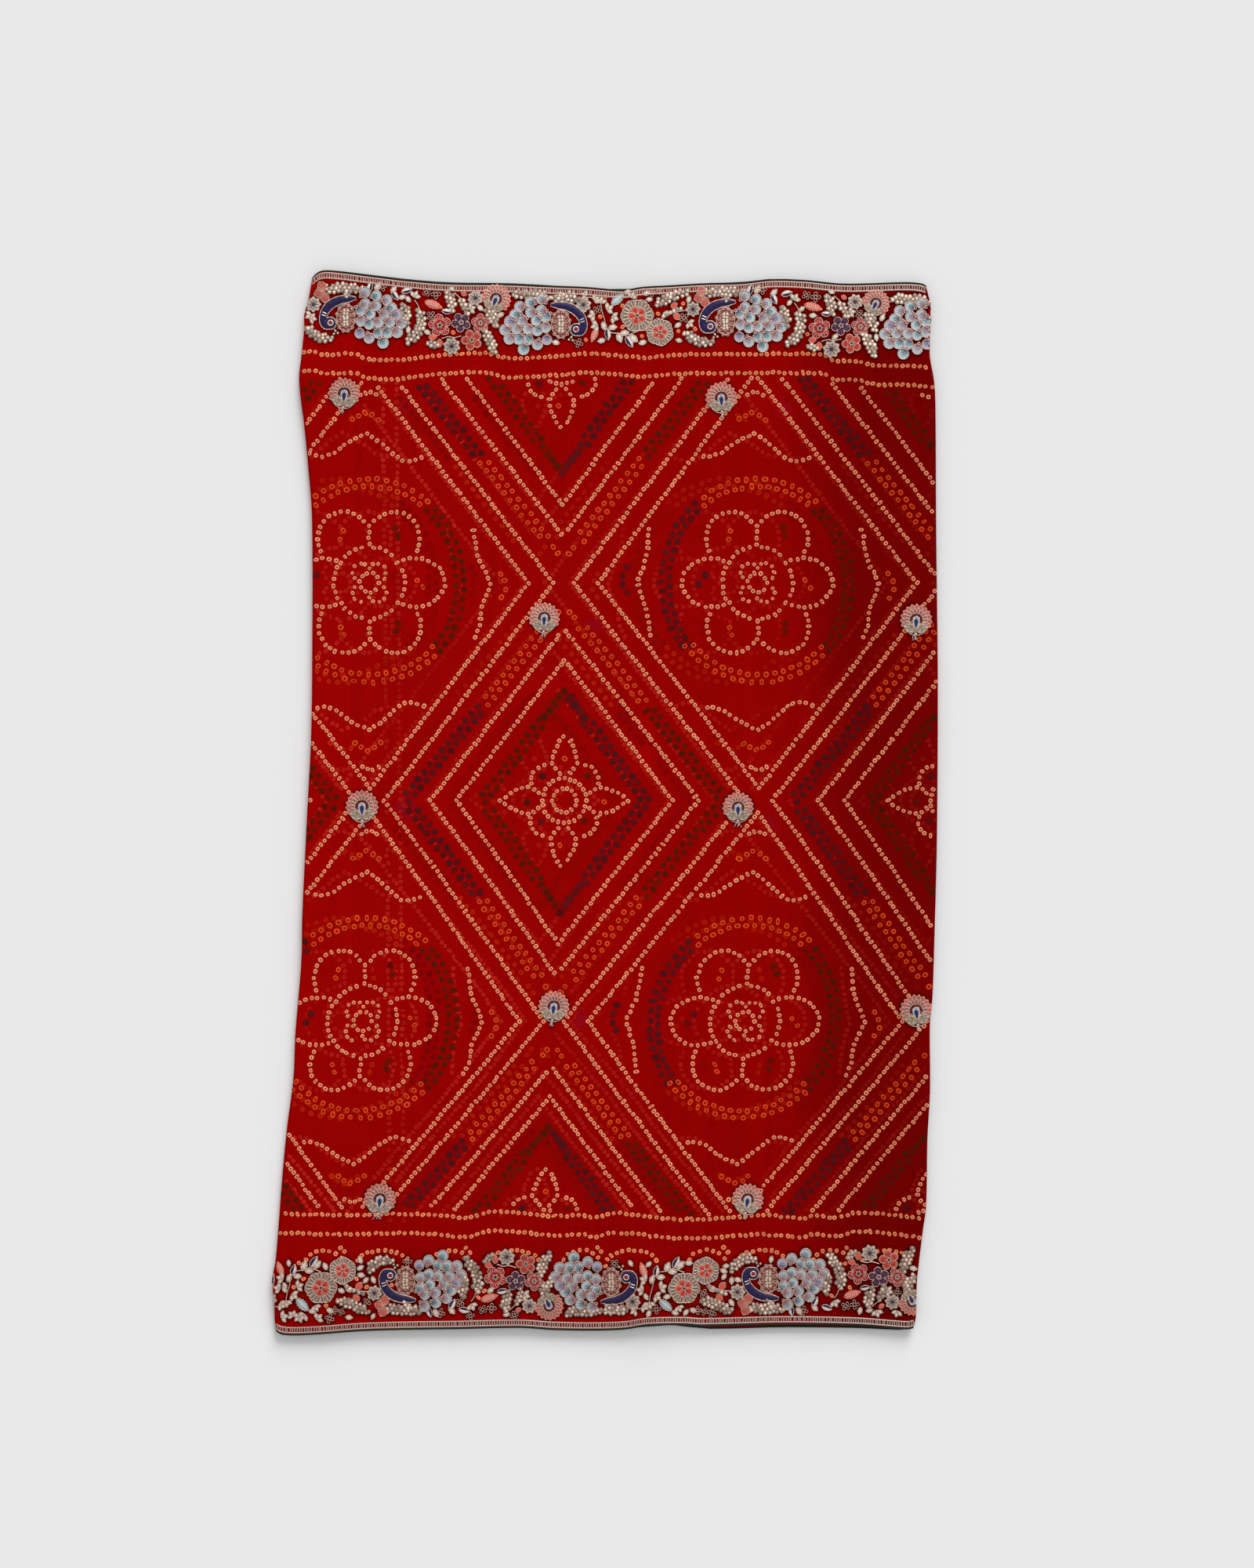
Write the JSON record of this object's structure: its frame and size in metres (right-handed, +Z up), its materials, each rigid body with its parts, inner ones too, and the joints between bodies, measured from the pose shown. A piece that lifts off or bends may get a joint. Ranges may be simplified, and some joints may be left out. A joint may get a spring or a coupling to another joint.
{
  "type": "folded bandhani cloth",
  "caption": "sheer crimson tie-dyed georgette cloth folded flat into layers, with dotted lattice, embroidered peacock borders, silver edging and green piping",
  "frame": {"origin": "middle of the overall box, on the flat underside that the cloth rests on", "axes": "X across the folded cloth, Y along its length, Z up out of the face that shows"},
  "size_m": [0.6356, 1.0166, 0.0111],
  "materials": {
    "crimson_georgette": "matt crepe",
    "silver_edging": "soft metallic",
    "green_piping": "matt",
    "blue_thread": "thread sheen",
    "navy_satin": "satin",
    "silver_thread": "thread sheen",
    "red_thread": "thread sheen",
    "purple_thread": "thread sheen",
    "coral_thread": "thread sheen",
    "pink_thread": "thread sheen"
  },
  "bodies": {
    "root": {"bandhani_cloth": "crimson_georgette", "butti_01": "silver_thread", "butti_02": "silver_thread", "butti_03": "silver_thread", "butti_04": "silver_thread", "butti_05": "silver_thread", "butti_06": "silver_thread", "butti_07": "silver_thread", "butti_08": "silver_thread", "butti_09": "silver_thread", "butti_10": "silver_thread", "carnation_1": "silver_thread", "carnation_2": "silver_thread", "carnation_3": "silver_thread", "carnation_4": "silver_thread", "carnation_5": "silver_thread", "carnation_6": "silver_thread", "coral_flower_1": "coral_thread", "coral_flower_2": "coral_thread", "coral_flower_3": "coral_thread", "coral_flower_4": "coral_thread", "fan_flower_1": "pink_thread", "fan_flower_2": "pink_thread", "fan_flower_3": "pink_thread", "fan_flower_4": "pink_thread", "green_piping_bottom": "green_piping", "green_piping_top": "green_piping", "peacock_body_1": "silver_thread", "peacock_body_2": "silver_thread", "peacock_body_3": "silver_thread", "peacock_body_4": "silver_thread", "peacock_body_5": "silver_thread", "peacock_body_6": "silver_thread", "peacock_neck_1": "navy_satin", "peacock_neck_2": "navy_satin", "peacock_neck_3": "navy_satin", "peacock_neck_4": "navy_satin", "peacock_neck_5": "navy_satin", "peacock_neck_6": "navy_satin", "peacock_tail_1": "blue_thread", "peacock_tail_2": "blue_thread", "peacock_tail_3": "blue_thread", "peacock_tail_4": "blue_thread", "peacock_tail_5": "blue_thread", "peacock_tail_6": "blue_thread", "peacock_tail_7": "blue_thread", "purple_flower_1": "purple_thread", "purple_flower_2": "purple_thread", "purple_flower_3": "purple_thread", "purple_flower_4": "purple_thread", "red_flower_1": "red_thread", "red_flower_2": "red_thread", "red_flower_3": "red_thread", "red_flower_4": "red_thread", "silver_edging_bottom": "silver_edging", "silver_edging_top": "silver_edging"}
  },
  "joints": []
}
